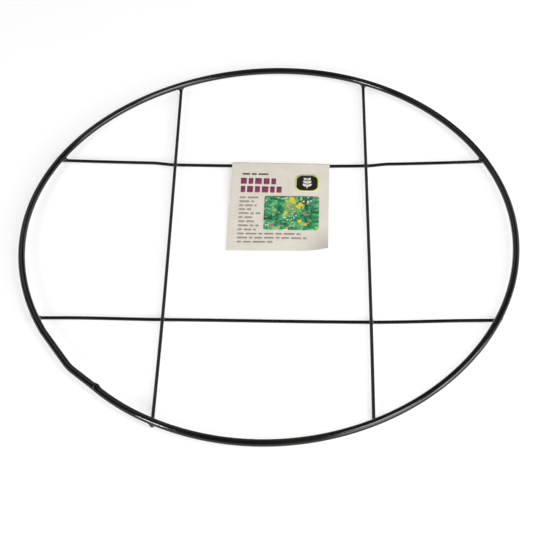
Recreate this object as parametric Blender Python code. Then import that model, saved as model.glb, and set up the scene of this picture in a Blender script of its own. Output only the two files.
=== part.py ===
# Plant support frame: the round wire grid of a plant support, dipped in black plastic, with its card label.
# Lengths are in metres, angles in degrees unless a name says otherwise. +Z is up and +Y is the back, where
# the label hangs. The origin is on the floor, under the middle of the ring's box.
import math
from collections import namedtuple

import bmesh
import bpy
from mathutils import Vector

MM = 0.001
TRIES = 6                       # steps in which a crossing of two curved bars is closed in on
MERGE = 0.001 * MM              # points closer than this are one
SHARP_ANGLE = math.radians(50.0)    # edges sharper than this aren't shaded smooth

# Steel rods and their plastic skin
RING_DIAMETER = 400.0 * MM      # over the skin, on the ring's mean circle
RING_ROD = 4.8 * MM             # diameter of the ring's rod
WIRE_ROD = 2.0 * MM             # diameter of the four wires
SKIN = 0.35 * MM                # plastic on every rod
BED = 0.25 * MM                 # how far a spot weld sinks one rod into the other
FIT = 0.05 * MM                 # gap between pieces that touch

# The ring is bent by hand, so it runs in and out of its circle: waves around it, height, phase
RING_WAVES = ((2, 0.44 * MM, 88.0), (3, 1.09 * MM, 123.0), (4, 0.50 * MM, -37.0))
RING_STEP = 5.0                 # angle from one point of the ring's path to the next

# The ring's ends: a straight run from FLAT_AT to a kink, and another from the kink to the butt weld
FLAT_AT = 210.0
KINK_AT = 222.0
KINK_OUT = 0.95 * MM            # how far the kink stands outside the ring's curve
WELD_AT = 229.7
WELD_DIP = 0.9 * MM             # how far the weld lies inside the ring's curve
DIP_RUN = 14.0                  # angle after the weld in which the ring comes back to its curve
BEAD_WIDTH = 2.0 * MM           # metal pressed out between the rod's two ends
BEAD_DIAMETER = 5.4 * MM
BUMP_DIAMETER = 6.6 * MM        # plastic pooled over the bead
BUMP_SHIFT = 0.35 * MM          # which hangs to the ring's inner side
BUMP_LENGTH = 6.0 * MM

# Where the wires lie, from the ring's centre to the middle between their two ends
LEFT_PLACE = -81.08 * MM
RIGHT_PLACE = 79.51 * MM
BACK_PLACE = 87.38 * MM
FRONT_PLACE = -82.97 * MM
TAIL = 2.4 * MM                 # an end cut just short of the ring's outer side, from the ring's centre line
LONG_TAIL = 4.8 * MM            # the one end that shows outside the ring
# Each wire: which way it runs, its place, how far its last end is out of line with its first, how far its
# middle bows, how far its quarters sway to either side, and its two ends' tails
Wire = namedtuple("Wire", "name along place skew bow sway first_tail last_tail")
LEFT = Wire("left", "Y", LEFT_PLACE, -0.57 * MM, 0.86 * MM, 0.22 * MM, LONG_TAIL, TAIL)
RIGHT = Wire("right", "Y", RIGHT_PLACE, -0.67 * MM, 0.49 * MM, 0.10 * MM, TAIL, TAIL)
BACK = Wire("back", "X", BACK_PLACE, -1.92 * MM, -4.50 * MM, 0.27 * MM, TAIL, TAIL)
FRONT = Wire("front", "X", FRONT_PLACE, -1.47 * MM, -0.57 * MM, 0.75 * MM, TAIL, TAIL)
UPPER_WIRES = (LEFT, RIGHT)
LOWER_WIRES = (BACK, FRONT)
# A lower wire climbs from its crossings to the ring's height over this share of the way to the ring
RISE_SHARE = {"back": 0.2, "front": 0.77}
# The skin's round end: distance from its tip and radius there, as shares of the wire's full radius
END_ROUNDING = ((0.0, 0.6), (0.1, 0.85), (0.35, 1.0))
UPPER_WIRE_STEPS = 10           # steps along an upper wire's path
MIDDLE_STEPS = 6                # and along a lower one's: between its two crossings,
RISE_STEPS = 5                  # in each climb,
OUTER_STEPS = 3                 # and from each climb to its end

# Plastic pooled in the joints
RING_WEB = 3.6 * MM             # how far it runs along a bar from a joint with the ring
WEB_TAIL = 0.6 * MM             # and past the ring, along a wire's end
CROSS_WEB = 2.0 * MM            # the same where two wires cross
WEB_STEPS = 3                   # points along each hollow side
WEB_HALF = 0.9                  # half width of a web's arm, as a share of the bar that it lies on
OUTER_HALF = 0.4                # the same outside the ring's centre line, where little plastic stays
# Height between the two bars' centre lines, and share of the full run at that height
RING_WEB_LEVELS = ((-0.1, 0.5), (0.15, 1.0), (0.45, 0.7), (0.8, 0.25))
CROSS_WEB_LEVELS = ((-0.12, 0.45), (0.3, 1.0), (0.7, 1.0), (1.12, 0.45))

# Card label, folded round the back wire and glued to itself below the fold
CARD = 0.3 * MM                 # thickness of one leaf
LABEL_WIDTH = 81.7 * MM
LABEL_LENGTH = 93.8 * MM        # from the wire's axis to the free edge
LABEL_SKEW = 0.85 * MM          # how far the free edge lies to the left of square
LABEL_AT = 8.35 * MM            # middle of the label along the back wire
LABEL_ROOM = 0.36 * MM          # air between the wire's skin and the leaf under it
FOLD_LEFT = 2.2 * MM            # inner radius of the fold at the label's left side, where it is looser
FOLD_RIGHT = 1.7 * MM           # and at its right side
GLUE_FROM = 15.0 * MM           # the two leaves part at this distance from the wire's axis
FREE_EDGE_LIFT = 0.15 * MM      # height of the free edge's underside over the floor
# The free edge's two corners curl up: side of the label, height, and how wide and how long the curl is
Curl = namedtuple("Curl", "side lift width length")
CURLS = (Curl(-1, 0.5 * MM, 45.0 * MM, 31.0 * MM), Curl(1, 3.9 * MM, 27.0 * MM, 31.0 * MM))
LABEL_COLUMNS = 10
LABEL_ROWS = 9
FOLD_STEPS = 8

# Heights of the centre lines over the floor. The label's lower leaf lies on the floor, under the back wire.
RING_RADIUS = RING_DIAMETER / 2 - RING_ROD / 2 - SKIN
WIRE_OUTSIDE = WIRE_ROD + 2 * SKIN
RING_OUTSIDE = RING_ROD + 2 * SKIN
FOLD_DROP = WIRE_OUTSIDE / 2 + LABEL_ROOM
LOWER_Z = CARD + FOLD_DROP
UPPER_Z = LOWER_Z + WIRE_ROD - BED
RING_Z = UPPER_Z + WIRE_ROD / 2 + RING_ROD / 2 - BED

# Sides of a tube, as the curve's bevel_resolution: 8 sides for the rods, 12 and 16 for the skins
ROD_SIDES = 2
WIRE_SKIN_SIDES = 4
RING_SKIN_SIDES = 6

PLASTIC = {"name": "plastic", "colour": (0.012, 0.012, 0.010), "roughness": 0.28, "metallic": 0.0}
STEEL = {"name": "steel", "colour": (0.42, 0.42, 0.41), "roughness": 0.38, "metallic": 1.0}
PAPER = {"name": "card", "colour": (0.70, 0.66, 0.58), "roughness": 0.7, "metallic": 0.0}


def clear_scene():
    for old in list(bpy.data.objects):
        bpy.data.objects.remove(old)


def new_collection(name):
    collection = bpy.data.collections.new(name)
    bpy.context.scene.collection.children.link(collection)
    return collection


def paint(piece, finish):
    """Give a piece a material of its own in one of the three finishes."""
    material = bpy.data.materials.new(piece.name + "_" + finish["name"])
    material.use_nodes = True
    shader = material.node_tree.nodes["Principled BSDF"]
    shader.inputs["Base Color"].default_value = (*finish["colour"], 1.0)
    shader.inputs["Roughness"].default_value = finish["roughness"]
    shader.inputs["Metallic"].default_value = finish["metallic"]
    piece.data.materials.append(material)


def smooth_step(share):
    """0 to 1, level at both ends."""
    share = min(max(share, 0.0), 1.0)
    return share * share * (3.0 - 2.0 * share)


# The ring's centre line


def polar(radius, angle):
    return Vector((radius * math.cos(angle), radius * math.sin(angle), RING_Z))


def curve_radius(angle):
    """Radius of the hand-bent ring at a polar angle in radians, without its kink and weld."""
    waves = sum(height * math.cos(count * angle - math.radians(phase)) for count, height, phase in RING_WAVES)
    return RING_RADIUS + waves


def ring_radius(angle):
    """The same, with the ring coming back to its curve after the weld."""
    after = math.degrees(angle) % 360.0 - WELD_AT
    dip = WELD_DIP * (1.0 - after / DIP_RUN) ** 2 if 0.0 <= after < DIP_RUN else 0.0
    return curve_radius(angle) - dip


def ring_point(degrees):
    angle = math.radians(degrees)
    return polar(ring_radius(angle), angle)


WELD_POINT = ring_point(WELD_AT)
KINK_POINT = ring_point(KINK_AT) * (1.0 + KINK_OUT / RING_RADIUS)
KINK_POINT.z = RING_Z
INWARD = Vector((-WELD_POINT.x, -WELD_POINT.y, 0.0)).normalized()


def near_weld(distance, shift=0.0):
    """Point on the ring's path at a distance past the weld, moved towards the ring's middle by shift."""
    if distance < 0.0:
        point = WELD_POINT + (KINK_POINT - WELD_POINT).normalized() * -distance
    else:
        point = ring_point(WELD_AT + math.degrees(distance / RING_RADIUS))
    return point + INWARD * shift


def round_from_weld(gap):
    """The ring's path from just after the weld, all the way round, to just before it."""
    points = [near_weld(gap)]
    first = WELD_AT + math.degrees(BUMP_LENGTH / RING_RADIUS)
    run = FLAT_AT + 360.0 - first
    steps = round(run / RING_STEP)
    points += [ring_point(first + run * step / steps) for step in range(steps + 1)]
    points += [KINK_POINT, near_weld(-gap)]
    return points


def ring_middle():
    """Middle of the ring's box, which is the part's origin."""
    points = round_from_weld(BUMP_LENGTH / 2)
    across = [point.x for point in points]
    deep = [point.y for point in points]
    return Vector(((min(across) + max(across)) / 2, (min(deep) + max(deep)) / 2, 0.0))


# The wires' centre lines


def across_axis(wire):
    return 0 if wire.along == "Y" else 1


def along_axis(wire):
    return 1 if wire.along == "Y" else 0


def ring_end(wire, side):
    """Where a wire meets the ring's centre line: side is -1 at its first end and 1 at its last."""
    across = wire.place + side * wire.skew / 2
    angle = 0.0
    radius = RING_RADIUS
    for _ in range(TRIES):
        along = side * math.sqrt(radius * radius - across * across)
        place = (across, along) if wire.along == "Y" else (along, across)
        angle = math.atan2(place[1], place[0])
        radius = ring_radius(angle)
    return along


def wire_across(wire, along):
    """Place of the wire's centre line sideways, at a place along it."""
    first = ring_end(wire, -1)
    share = (along - first) / (ring_end(wire, 1) - first)
    straight = wire.place + wire.skew * (share - 0.5)
    return straight + wire.bow * 4.0 * share * (1.0 - share) + wire.sway * math.sin(2 * math.pi * share)


def crossing(lower, upper):
    """Where a lower wire passes under an upper one, as x and y."""
    x = upper.place
    for _ in range(TRIES):
        y = wire_across(lower, x)
        x = wire_across(upper, y)
    return Vector((x, y, 0.0))


def climb(wire, upper, side):
    """A lower wire's climb on one side: where it starts, under an upper wire, and how far it runs."""
    start = crossing(wire, upper).x
    return start, RISE_SHARE[wire.name] * abs(ring_end(wire, side) - start)


def wire_height(wire, along):
    """An upper wire is straight. A lower one dips from the ring to pass under the two upper ones."""
    if wire in UPPER_WIRES:
        return UPPER_Z
    low, low_run = climb(wire, LEFT, -1)
    high, high_run = climb(wire, RIGHT, 1)
    past = max((along - high) / high_run, (low - along) / low_run)
    return LOWER_Z + (UPPER_Z - LOWER_Z) * smooth_step(past)


def wire_point(wire, along):
    point = Vector((0.0, 0.0, wire_height(wire, along)))
    point[along_axis(wire)] = along
    point[across_axis(wire)] = wire_across(wire, along)
    return point


def wire_ends(wire):
    return ring_end(wire, -1) - wire.first_tail, ring_end(wire, 1) + wire.last_tail


def wire_body(wire):
    """Places along a wire, evenly spaced in each of its stretches, which its rod and its skin share."""
    first, last = wire_ends(wire)
    first += WIRE_OUTSIDE
    last -= WIRE_OUTSIDE
    if wire in UPPER_WIRES:
        stretches = ((first, last, UPPER_WIRE_STEPS),)
    else:
        low, low_run = climb(wire, LEFT, -1)
        high, high_run = climb(wire, RIGHT, 1)
        stretches = (
            (first, low - low_run, OUTER_STEPS),
            (low - low_run, low, RISE_STEPS),
            (low, high, MIDDLE_STEPS),
            (high, high + high_run, RISE_STEPS),
            (high + high_run, last, OUTER_STEPS),
        )
    places = [first]
    for start, end, steps in stretches:
        places += [start + (end - start) * step / steps for step in range(1, steps + 1)]
    return places


def rod_path(wire, inset):
    first, last = wire_ends(wire)
    places = [first + inset] + wire_body(wire) + [last - inset]
    return [wire_point(wire, along) for along in places]


def skin_path(wire, grow):
    """A wire's skin with its round ends: points, and the share of the full radius at each."""
    first, last = wire_ends(wire)
    radius = WIRE_OUTSIDE / 2 + grow
    start = [first - grow + radius * depth for depth, _ in END_ROUNDING]
    end = [last + grow - radius * depth for depth, _ in reversed(END_ROUNDING)]
    shares = [share for _, share in END_ROUNDING]
    body = wire_body(wire)
    points = [wire_point(wire, along) for along in start + body + end]
    return points, shares + [1.0] * len(body) + shares[::-1]


# Tubes, cuts and webs


def tube(name, points, diameter, sides, shares=None, closed=False, turned=False):
    """A bar along a path, as one closed mesh. turned puts flat sides, not edges, at its top and bottom."""
    curve = bpy.data.curves.new(name, "CURVE")
    curve.dimensions = "3D"
    curve.twist_mode = "Z_UP"
    curve.bevel_depth = diameter / 2
    curve.bevel_resolution = sides
    curve.use_fill_caps = not closed
    spline = curve.splines.new("POLY")
    spline.points.add(len(points) - 1)
    spline.use_cyclic_u = closed
    half_side = math.pi / (2 * sides + 4)
    for number, place in enumerate(points):
        knot = spline.points[number]
        knot.co = (*place, 1.0)
        knot.radius = shares[number] if shares else 1.0
        knot.tilt = half_side if turned else 0.0
    guide = bpy.data.objects.new(name + "_path", curve)
    bpy.context.scene.collection.objects.link(guide)
    bpy.context.view_layer.update()
    evaluated = guide.evaluated_get(bpy.context.evaluated_depsgraph_get())
    mesh = bpy.data.meshes.new_from_object(evaluated)
    mesh.name = name
    bpy.data.objects.remove(guide)
    weld_mesh(mesh)
    return bpy.data.objects.new(name, mesh)


def weld_mesh(mesh):
    """Join a tube's caps to its side, with every face pointing out."""
    shape = bmesh.new()
    shape.from_mesh(mesh)
    bmesh.ops.remove_doubles(shape, verts=shape.verts, dist=MERGE)
    bmesh.ops.recalc_face_normals(shape, faces=shape.faces)
    shape.to_mesh(mesh)
    shape.free()
    mesh.shade_smooth()
    mesh.set_sharp_from_angle(angle=SHARP_ANGLE)


def add_piece(piece, finish):
    PIECES.objects.link(piece)
    piece.parent = FRAME
    paint(piece, finish)
    return piece


def add_room(room):
    """The space that a piece takes up, with its clearance, which is cut from its neighbours."""
    CUTTERS.objects.link(room)
    room.parent = FRAME
    room.hide_render = True
    room.display_type = "WIRE"
    return room


def cut(piece, rooms):
    for room in rooms:
        boolean = piece.modifiers.new("clear_" + room.name, "BOOLEAN")
        boolean.operation = "DIFFERENCE"
        boolean.solver = "EXACT"
        boolean.object = room


# One arm of a web: its direction, its reach, and its half width on its clockwise and its other side
Arm = namedtuple("Arm", "way reach before after")


def web_outline(arms, share, height):
    """Outline of pooled plastic between bars: a hollow curve in each corner from one arm to the next."""
    points = []
    for first, second in zip(arms, arms[1:] + arms[:1]):
        turn = first.way.x * second.way.y - first.way.y * second.way.x
        corner = (first.way * second.before + second.way * first.after) / turn
        start = corner + first.way * first.reach * share
        end = corner + second.way * second.reach * share
        for step in range(WEB_STEPS + 1):
            t = step / WEB_STEPS
            point = start * (1 - t) ** 2 + corner * 2 * t * (1 - t) + end * t ** 2
            point.z = height
            points.append(point)
    return points


def web(name, place, arms, levels, bottom, top, rooms):
    """Pooled plastic round a joint, lofted through its levels and cut back to the two skins."""
    shape = bmesh.new()
    rows = []
    for level, share in levels:
        outline = web_outline(arms, share, bottom + (top - bottom) * level)
        rows.append([shape.verts.new(place + point) for point in outline])
    for lower, upper in zip(rows, rows[1:]):
        for number in range(len(lower)):
            after = (number + 1) % len(lower)
            shape.faces.new((lower[number], lower[after], upper[after], upper[number]))
    shape.faces.new(rows[0][::-1])
    shape.faces.new(rows[-1])
    mesh = bpy.data.meshes.new(name)
    shape.to_mesh(mesh)
    shape.free()
    piece = add_piece(bpy.data.objects.new(name, mesh), PLASTIC)
    cut(piece, rooms)


def flat_way(start, end):
    way = end - start
    way.z = 0.0
    return way.normalized()


# Sub-parts


def make_ring():
    half = BEAD_WIDTH / 2
    rod = add_piece(tube("ring_rod", round_from_weld(half + FIT), RING_ROD, ROD_SIDES), STEEL)
    bead_path = [near_weld(distance) for distance in (-half, 0.0, half)]
    end_share = RING_ROD / BEAD_DIAMETER
    add_piece(tube("ring_weld", bead_path, BEAD_DIAMETER, ROD_SIDES, (end_share, 1.0, end_share)), STEEL)

    bore_points = round_from_weld(half) + [near_weld(0.0)]
    bore_diameter = RING_ROD + 2 * FIT
    bore_shares = [1.0] * (len(bore_points) - 1) + [(BEAD_DIAMETER + 2 * FIT) / bore_diameter]
    rod_room = tube("ring_rod_room", bore_points, bore_diameter, ROD_SIDES, bore_shares, closed=True)
    add_room(rod_room)

    lift = BUMP_DIAMETER / RING_OUTSIDE
    half_lift = (1.0 + lift) / 2
    skin_points = round_from_weld(BUMP_LENGTH / 2)
    skin_shares = [1.0] * len(skin_points) + [half_lift, lift, half_lift]
    skin_points.append(near_weld(-BUMP_LENGTH / 4, BUMP_SHIFT / 2))
    skin_points.append(near_weld(0.0, BUMP_SHIFT))
    skin_points.append(near_weld(BUMP_LENGTH / 4, BUMP_SHIFT / 2))
    shape = {"sides": RING_SKIN_SIDES, "shares": skin_shares, "closed": True, "turned": True}
    skin = add_piece(tube("ring_coat", skin_points, RING_OUTSIDE, **shape), PLASTIC)
    skin_room = add_room(tube("ring_room", skin_points, RING_OUTSIDE + 2 * FIT, **shape))
    cut(skin, (rod_room,))
    return {"rod": rod, "rod_room": rod_room, "skin": skin, "skin_room": skin_room}


def make_wire(wire):
    rod = add_piece(tube(wire.name + "_wire", rod_path(wire, SKIN), WIRE_ROD, ROD_SIDES), STEEL)
    rod_room = tube(wire.name + "_rod_room", rod_path(wire, SKIN - FIT), WIRE_ROD + 2 * FIT, ROD_SIDES)
    add_room(rod_room)
    points, shares = skin_path(wire, 0.0)
    skin = tube(wire.name + "_wire_coat", points, WIRE_OUTSIDE, WIRE_SKIN_SIDES, shares, turned=True)
    add_piece(skin, PLASTIC)
    points, shares = skin_path(wire, FIT)
    diameter = WIRE_OUTSIDE + 2 * FIT
    skin_room = tube(wire.name + "_room", points, diameter, WIRE_SKIN_SIDES, shares, turned=True)
    add_room(skin_room)
    cut(skin, (rod_room,))
    return {"rod": rod, "rod_room": rod_room, "skin": skin, "skin_room": skin_room}


def weld_wires(ring, wires):
    """Sink the rods into each other at every weld, and open the skins where steel passes through."""
    for made in wires.values():
        cut(made["rod"], (ring["rod_room"],))
        cut(made["skin"], (ring["skin_room"],))
    cut(ring["skin"], [made["rod_room"] for made in wires.values()])
    for lower in LOWER_WIRES:
        for upper in UPPER_WIRES:
            cut(wires[lower.name]["rod"], (wires[upper.name]["rod_room"],))
            cut(wires[lower.name]["skin"], (wires[upper.name]["skin_room"],))
            cut(wires[upper.name]["skin"], (wires[lower.name]["rod_room"],))


def make_ring_web(wire, side, name, ring, made):
    """Pooled plastic where a wire passes under the ring."""
    place = wire_point(wire, ring_end(wire, side))
    inward = flat_way(place, wire_point(wire, ring_end(wire, side) - side * RING_WEB))
    angle = math.degrees(math.atan2(place.y, place.x))
    onward = flat_way(ring_point(angle - RING_STEP / 2), ring_point(angle + RING_STEP / 2))
    inner = RING_OUTSIDE / 2 * WEB_HALF
    outer = RING_OUTSIDE / 2 * OUTER_HALF
    half = WIRE_OUTSIDE / 2 * WEB_HALF
    arms = [
        Arm(inward, RING_WEB, half, half),
        Arm(-onward, RING_WEB, inner, outer),
        Arm(-inward, WEB_TAIL, half, half),
        Arm(onward, RING_WEB, outer, inner),
    ]
    place.z = 0.0
    rooms = (ring["skin_room"], made["skin_room"])
    web(name, place, arms, RING_WEB_LEVELS, UPPER_Z, RING_Z, rooms)


def make_cross_web(lower, upper, wires):
    """Pooled plastic where an upper wire passes over a lower one."""
    place = crossing(lower, upper)
    right = flat_way(wire_point(lower, place.x), wire_point(lower, place.x + WIRE_OUTSIDE))
    back = flat_way(wire_point(upper, place.y), wire_point(upper, place.y + WIRE_OUTSIDE))
    half = WIRE_OUTSIDE / 2 * WEB_HALF
    arms = [Arm(way, CROSS_WEB, half, half) for way in (right, back, -right, -back)]
    name = "cross_" + lower.name + "_" + upper.name + "_web"
    rooms = (wires[lower.name]["skin_room"], wires[upper.name]["skin_room"])
    web(name, place, arms, CROSS_WEB_LEVELS, LOWER_Z, UPPER_Z, rooms)


def make_webs(ring, wires):
    ends = {-1: {"Y": "front", "X": "left"}, 1: {"Y": "back", "X": "right"}}
    for wire in UPPER_WIRES + LOWER_WIRES:
        for side, words in ends.items():
            name = wire.name + "_" + words[wire.along] + "_web"
            make_ring_web(wire, side, name, ring, wires[wire.name])
    for lower in LOWER_WIRES:
        for upper in UPPER_WIRES:
            make_cross_web(lower, upper, wires)


# The label. Its own axes: x along the wire, y to the back and z up, from the wire's centre line.


def label_section(share):
    """One cross-section of the folded card, at a share of the way from its left side to its right."""
    fold = FOLD_LEFT + (FOLD_RIGHT - FOLD_LEFT) * share
    centre = fold - FOLD_DROP
    glued = 2 * CARD
    crest = centre + fold + CARD
    edge = FREE_EDGE_LIFT + glued - LOWER_Z

    def top(y):
        return crest + (edge - crest) * (centre - y) / (centre + LABEL_LENGTH)

    rows = [-LABEL_LENGTH + (LABEL_LENGTH - GLUE_FROM) * row / LABEL_ROWS for row in range(LABEL_ROWS + 1)]
    upper = [(y, top(y)) for y in rows]
    under = [(y, top(y) - glued) for y in rows]
    turns = [math.pi / 2 - math.pi * step / FOLD_STEPS for step in range(FOLD_STEPS + 1)]
    ways = [(math.cos(turn), math.sin(turn)) for turn in turns]
    outside = [(centre + (fold + CARD) * y, centre + (fold + CARD) * z) for y, z in ways]
    inside = [(centre + fold * y, centre + fold * z) for y, z in ways]
    seam = (rows[-1], top(rows[-1]) - CARD)
    return upper, outside, under, inside, seam


def curl_lift(x, y):
    """How far the card rises off the floor in its curled corners."""
    lift = 0.0
    for curl in CURLS:
        sideways = (curl.side * x - (LABEL_WIDTH / 2 - curl.width)) / curl.width
        forward = (-y - (LABEL_LENGTH - curl.length)) / curl.length
        if sideways > 0.0 and forward > 0.0:
            lift += curl.lift * sideways ** 2 * forward ** 2
    return lift


def label_place(x, y, z):
    """A point of the square, flat card where it lies: askew, and with its corners curled."""
    return x + LABEL_SKEW * min(y, 0.0) / LABEL_LENGTH, y, z + curl_lift(x, y)


def make_label():
    """The folded card as one closed body: a hollow fold, then two leaves glued together."""
    shape = bmesh.new()

    def column_verts(column):
        share = column / LABEL_COLUMNS
        x = LABEL_WIDTH * (share - 0.5)
        made = []
        for part in label_section(share):
            points = [part] if isinstance(part[0], float) else part
            made.append([shape.verts.new(label_place(x, y, z)) for y, z in points])
        return made

    columns = [column_verts(column) for column in range(LABEL_COLUMNS + 1)]
    rims = []
    for upper, outside, under, inside, seam in columns:
        rims.append((upper + outside + under[::-1], inside + seam))
    for (outer, inner), (next_outer, next_inner) in zip(rims, rims[1:]):
        for line, next_line in ((outer, next_outer), (inner[::-1], next_inner[::-1])):
            for number in range(len(line)):
                after = (number + 1) % len(line)
                shape.faces.new((line[number], next_line[number], next_line[after], line[after]))

    for column, flip in ((columns[0], False), (columns[-1], True)):
        upper, outside, under, inside, seam = column
        faces = []
        for row in range(LABEL_ROWS - 1):
            faces.append((upper[row], upper[row + 1], under[row + 1], under[row]))
        faces.append((upper[-2], upper[-1], seam[0], under[-1], under[-2]))
        faces.append((upper[-1], outside[0], inside[0], seam[0]))
        for step in range(FOLD_STEPS):
            faces.append((outside[step], outside[step + 1], inside[step + 1], inside[step]))
        faces.append((outside[-1], under[-1], seam[0], inside[-1]))
        for corners in faces:
            shape.faces.new(corners[::-1] if flip else corners)

    bmesh.ops.recalc_face_normals(shape, faces=shape.faces)
    mesh = bpy.data.meshes.new("label_card")
    shape.to_mesh(mesh)
    shape.free()
    mesh.shade_smooth()
    mesh.set_sharp_from_angle(angle=SHARP_ANGLE)
    label = add_piece(bpy.data.objects.new("label_card", mesh), PAPER)
    # The card turns about a straight line through the bowed wire, midway between its bow and its chord
    half = LABEL_WIDTH / 2
    left = wire_point(BACK, LABEL_AT - half)
    right = wire_point(BACK, LABEL_AT + half)
    axis = flat_way(left, right)
    label.rotation_euler.z = math.atan2(axis.y, axis.x)
    label.location = (wire_point(BACK, LABEL_AT) + (left + right) / 2) / 2
    return label


clear_scene()
PIECES = new_collection("plant_support_frame")
CUTTERS = new_collection("cutters")
FRAME = bpy.data.objects.new("frame_origin", None)
PIECES.objects.link(FRAME)
FRAME.location = -ring_middle()

RING_MADE = make_ring()
WIRES_MADE = {wire.name: make_wire(wire) for wire in UPPER_WIRES + LOWER_WIRES}
weld_wires(RING_MADE, WIRES_MADE)
make_webs(RING_MADE, WIRES_MADE)
make_label()
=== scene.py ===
"""Looks of the plant support frame: dipped plastic on its bars and joints, a card label, stage and lights.

Lengths are in millimetres and angles in degrees, but an argument called angle is in radians. Meshes are
turned into metres when they are made. +Z is up, and +Y is the back, where the label hangs.
"""

import itertools
import math
from collections import namedtuple

import bmesh
import bpy
import numpy as np
from mathutils import Matrix, Vector


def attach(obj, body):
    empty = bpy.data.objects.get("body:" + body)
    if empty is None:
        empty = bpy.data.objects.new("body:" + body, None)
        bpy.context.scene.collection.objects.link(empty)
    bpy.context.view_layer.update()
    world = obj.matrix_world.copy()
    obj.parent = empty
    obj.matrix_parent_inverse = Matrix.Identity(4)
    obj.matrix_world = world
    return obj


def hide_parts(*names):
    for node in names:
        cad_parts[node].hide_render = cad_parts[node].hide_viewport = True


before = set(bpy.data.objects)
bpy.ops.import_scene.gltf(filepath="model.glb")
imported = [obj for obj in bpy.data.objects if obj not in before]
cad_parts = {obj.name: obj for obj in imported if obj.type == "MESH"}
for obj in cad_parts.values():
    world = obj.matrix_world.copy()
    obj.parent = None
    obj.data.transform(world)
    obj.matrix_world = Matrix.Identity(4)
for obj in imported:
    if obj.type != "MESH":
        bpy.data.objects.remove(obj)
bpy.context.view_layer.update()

MM = 0.001

# Bars: the same sizes as the solids
RING_DIAMETER = 400.0
RING_ROD = 4.8
WIRE_ROD = 2.0
SKIN = 0.35
BED = 0.25                      # how far a weld sinks one rod into another
# Slow waves of the ring's radius: how many go round it, their height and their phase
RING_WAVES = ((2, 0.44, 88.0), (3, 1.09, 123.0), (4, 0.50, -37.0))
FLAT_AT = 210.0                 # the bar runs straight from here to its kink, and from there to its weld
KINK_AT = 222.0
KINK_OUT = 0.95                 # how far the kink stands out of the ring's curve
KINK_ROUND = 5.0                # the bar's bend at the kink starts and ends this far from it
WELD_AT = 229.7
WELD_DIP = 0.9                  # the bar starts this far inside its curve after the weld,
DIP_RUN = 14.0                  # and is back on it this far round
TAIL = 2.4                      # an end cut just short of the ring's outer side, from the ring's centre line
SHORT_TAIL = -0.8               # the right wire's front end, which doesn't show
NIB_TAIL = 3.0                  # the left wire's front end, which shows below the ring

# Card label: the same sizes as its solid
CARD = 0.3
LABEL_ROOM = 0.36
LABEL_WIDTH = 81.7
LABEL_LENGTH = 93.8             # from the wire's axis to the free edge
LABEL_SKEW = 0.85
LABEL_AT = 8.35
FOLD_LEFT = 2.2
FOLD_RIGHT = 1.7
GLUE_FROM = 15.0
FREE_EDGE_LIFT = 0.15
# A corner of the free edge that curls up: the left (-1) or right (1) one, how high, and from how far each way
Curl = namedtuple("Curl", "side lift width length")
CURLS = (Curl(-1, 0.5, 45.0, 31.0), Curl(1, 3.9, 27.0, 31.0))

# How the card is drawn
GLUE_GAP = 0.03                 # air between the two leaves, which are drawn this much thinner
CARD_STEP = 2.0
CARD_BODY = 0.6                 # the even grid of each leaf starts this far from its edges
FOLD_STEPS = 18
FOLD_CLEAR = 0.3                # the leaves' grids stop this far before the fold
# The card's cut edges are softened: distance from the edge, and thickness there as a share
CARD_RIM = ((0.0, 0.45), (0.04, 0.82), (0.11, 1.0))
BULGE = 0.05                    # height of the slow waves in the card
BULGE_WAYS = ((41.0, 97.0, 0.6), (-63.0, 38.0, 2.1))        # their lengths across and down it, and phases

RING_RADIUS = RING_DIAMETER / 2 - RING_ROD / 2 - SKIN
RING_HALF = RING_ROD / 2 + SKIN
WIRE_HALF = WIRE_ROD / 2 + SKIN
FOLD_DROP = WIRE_HALF + LABEL_ROOM
LOWER_Z = CARD + FOLD_DROP
UPPER_Z = LOWER_Z + WIRE_ROD - BED
RING_Z = UPPER_Z + WIRE_ROD / 2 + RING_ROD / 2 - BED

# How finely the bars are drawn
ROUGH_POINTS = 20000            # of the ring's curve, from which its evenly spaced points are read
BEND_POINTS = 12
RING_STEPS = 900
RING_SIDES = 40
WELD_ZONE = 9.0                 # the ring is drawn more finely this near its weld
WELD_STEP = 0.25
WIRE_STEP = 1.25
WIRE_SIDES = 28
ROUND_END = (12.0, 78.0, 5)     # first angle, last angle and number of the points over a wire's round end
CORE_SIDES = 16
CORE_SHORT = 0.6                # the steel ends this far inside its skin
TRIES = 6                       # rounds in the search for where two bars meet

# Joints: how far a joint's own skin runs along each bar, and how softly two bars run into each other
RING_JOINT_REACH = 10.0
CROSS_JOINT_REACH = 7.0
RING_POOL = 3.0
CROSS_POOL = 1.1
UNDER = 0.03                    # a bar's plain skin lies this far under the joint's skin
RUN_OUT = 3.5                   # the joint's skin sinks into the bar's over this length

# How finely the joints are drawn
RING_VOXEL = 0.42
CROSS_VOXEL = 0.3
JOINT_POINTS = 17               # along each bar of a joint, before it is remeshed
CUT_BACK = 1.3                  # how many voxels are cut off the remeshed bars' ends
RELAX_TURNS = 4
SETTLE_TURNS = 3                # rounds that bring a joint's points onto its skin,
SETTLE_MOST = 0.5               # how far each moves them at most,
SLOPE_STEP = 0.01               # over what length the slope of their distance is measured,
SLOPE_LEAST = 0.1               # and the least that the slope's square counts as


def smooth_step(share):
    share = np.clip(share, 0.0, 1.0)
    return share * share * (3.0 - 2.0 * share)


def unit(vectors):
    return vectors / np.linalg.norm(vectors, axis=-1, keepdims=True)


# The ring's centre line. Points are in the ring's own axes until to_metres moves them into the model's.


def curve_radius(angle):
    """Radius of the ring's centre line at an angle, without its flat run, kink and weld."""
    waves = sum(height * np.cos(count * angle - math.radians(phase)) for count, height, phase in RING_WAVES)
    return RING_RADIUS + waves


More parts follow.
